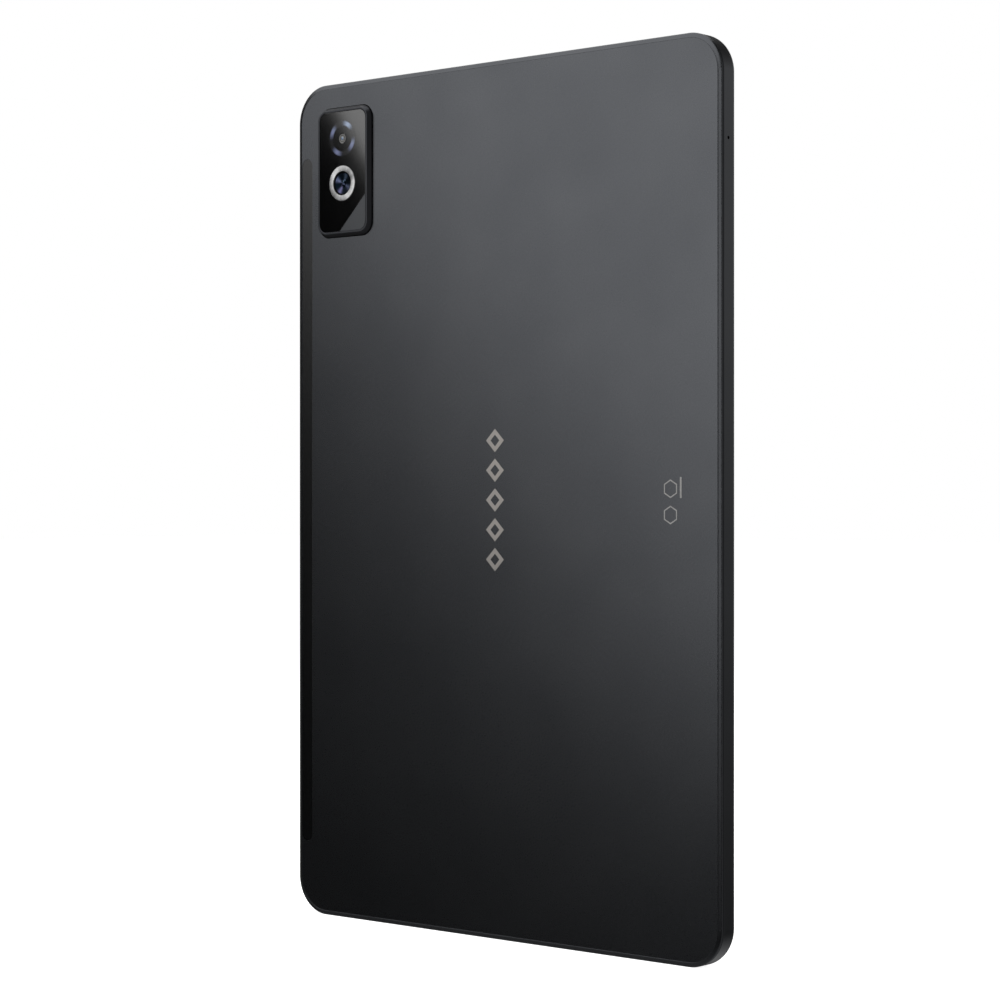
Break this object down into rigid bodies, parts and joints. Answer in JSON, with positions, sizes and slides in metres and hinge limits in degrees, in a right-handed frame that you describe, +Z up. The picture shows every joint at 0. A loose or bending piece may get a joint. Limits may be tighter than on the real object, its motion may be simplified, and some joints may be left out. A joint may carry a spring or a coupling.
{
  "type": "tablet computer",
  "caption": "Slim tablet computer with a metal back, a glass front, a raised rear camera island, side keys, a card tray, a USB-C socket and speakers at both ends.",
  "frame": {"origin": "middle of the foot of the whole tablet as it stands upright on its lower short edge, half way between the screen glass and the top of the rear lens ring", "axes": "+Z up along the long side, +X to the right as the screen is read, +Y out of the rear cover; the screen faces -Y"},
  "size_m": [0.1568, 0.0088, 0.2483],
  "materials": {
    "cover_metal": "fine bead-blasted dark grey anodising",
    "frame_metal": "fine bead-blasted dark grey anodising",
    "key_metal": "satin dark grey anodising",
    "tray_metal": "satin dark grey anodising",
    "bezel_metal": "satin dark grey anodising",
    "window_plastic": "matte dark grey",
    "ring_metal": "turned bright anodising",
    "lens_metal": "turned blue-black anodising",
    "black_glass": "glossy black, printed behind",
    "front_glass": "glossy black, printed behind",
    "clear_glass": "coated optical glass",
    "panel_glass": "smooth dark",
    "clear_plastic": "clear moulded",
    "black_plastic": "matte black",
    "speaker_plastic": "matte black moulded",
    "antenna_plastic": "copper foil on black plastic",
    "led": "satin",
    "gold": "gold plated",
    "steel": "drawn steel",
    "backlight_steel": "pressed sheet",
    "shield_steel": "pressed sheet",
    "mesh": "woven mesh",
    "rubber": "matte",
    "flex": "satin polyimide film",
    "board": "solder mask",
    "chip": "moulded",
    "graphite": "metallic grey film",
    "adhesive": "thin tape",
    "battery_foil": "foil pouch with a black wrap"
  },
  "bodies": {
    "chassis": {"rear_cover": "cover_metal", "antenna_window": "window_plastic", "mid_frame": "frame_metal", "usb_port_shell": "steel", "usb_port_tongue": "black_plastic", "usb_port_contacts": "gold", "dome_switches": "steel", "key_flex": "flex", "key_brackets": "steel", "card_reader": "steel", "eject_lever_pivot": "steel", "speaker_meshes": "mesh", "side_microphone": "rubber", "bottom_microphone": "rubber", "camera_bezel": "bezel_metal", "camera_glass": "black_glass", "camera_corner_plate": "bezel_metal", "lens_ring": "ring_metal", "lens_disc": "lens_metal", "lens_element": "clear_glass", "lens_barrel": "black_plastic", "camera_gasket": "rubber", "rear_camera_module": "black_plastic", "flash_lens": "clear_plastic", "flash_led": "led", "cover_glass": "front_glass", "display_adhesive": "adhesive", "display_panel": "panel_glass", "backlight_tray": "backlight_steel", "light_guide": "clear_plastic", "front_camera_module": "black_plastic", "light_sensor": "black_plastic", "display_flex": "flex", "battery_cell_lower": "battery_foil", "battery_cell_upper": "battery_foil", "battery_adhesive_strips": "adhesive", "battery_protection_board": "board", "battery_lead": "flex", "main_board": "board", "board_chips": "chip", "board_connectors": "black_plastic", "sub_board": "board", "board_link_flex": "flex", "board_screws": "steel", "thermal_sheet": "graphite", "antenna_lower": "antenna_plastic", "antenna_cable": "rubber", "shield_can_processor": "shield_steel", "shield_can_radio": "shield_steel", "shield_can_power": "shield_steel", "speaker_lower_left": "speaker_plastic", "speaker_lower_right": "speaker_plastic", "speaker_upper_left": "speaker_plastic", "speaker_upper_right": "speaker_plastic"},
    "power_button": {"power_button": "key_metal"},
    "volume_rocker": {"volume_rocker": "key_metal"},
    "card_tray": {"card_tray": "tray_metal", "card_tray_seal": "rubber"},
    "eject_rod": {"eject_rod": "steel"},
    "eject_lever": {"eject_lever": "steel"}
  },
  "joints": [
    {"name": "power_press", "type": "slide", "parent": "chassis", "child": "power_button", "axis": [0, 0, -1], "range_m": [0, 0.00025], "stiffness_N_per_m": 4000},
    {"name": "volume_rock", "type": "hinge", "parent": "chassis", "child": "volume_rocker", "pos_m": [0.07645, -0.00042, 0.196], "axis": [0, 1, 0], "range_deg": [-1.3, 1.3], "stiffness_Nm_per_rad": 0.3},
    {"name": "tray_slide", "type": "slide", "parent": "chassis", "child": "card_tray", "axis": [1, 0, 0], "range_m": [0, 0.027]},
    {"name": "eject_push", "type": "slide", "parent": "chassis", "child": "eject_rod", "axis": [-1, 0, 0], "range_m": [0, 0.001]},
    {"name": "eject_turn", "type": "hinge", "parent": "chassis", "child": "eject_lever", "pos_m": [0.046, -0.00042, 0.1536], "axis": [0, 1, 0], "range_deg": [0, 17.5]}
  ],
  "couplings": [
    {"joint": "eject_turn", "follows": "eject_push", "rad_per_m": 303.03}
  ]
}
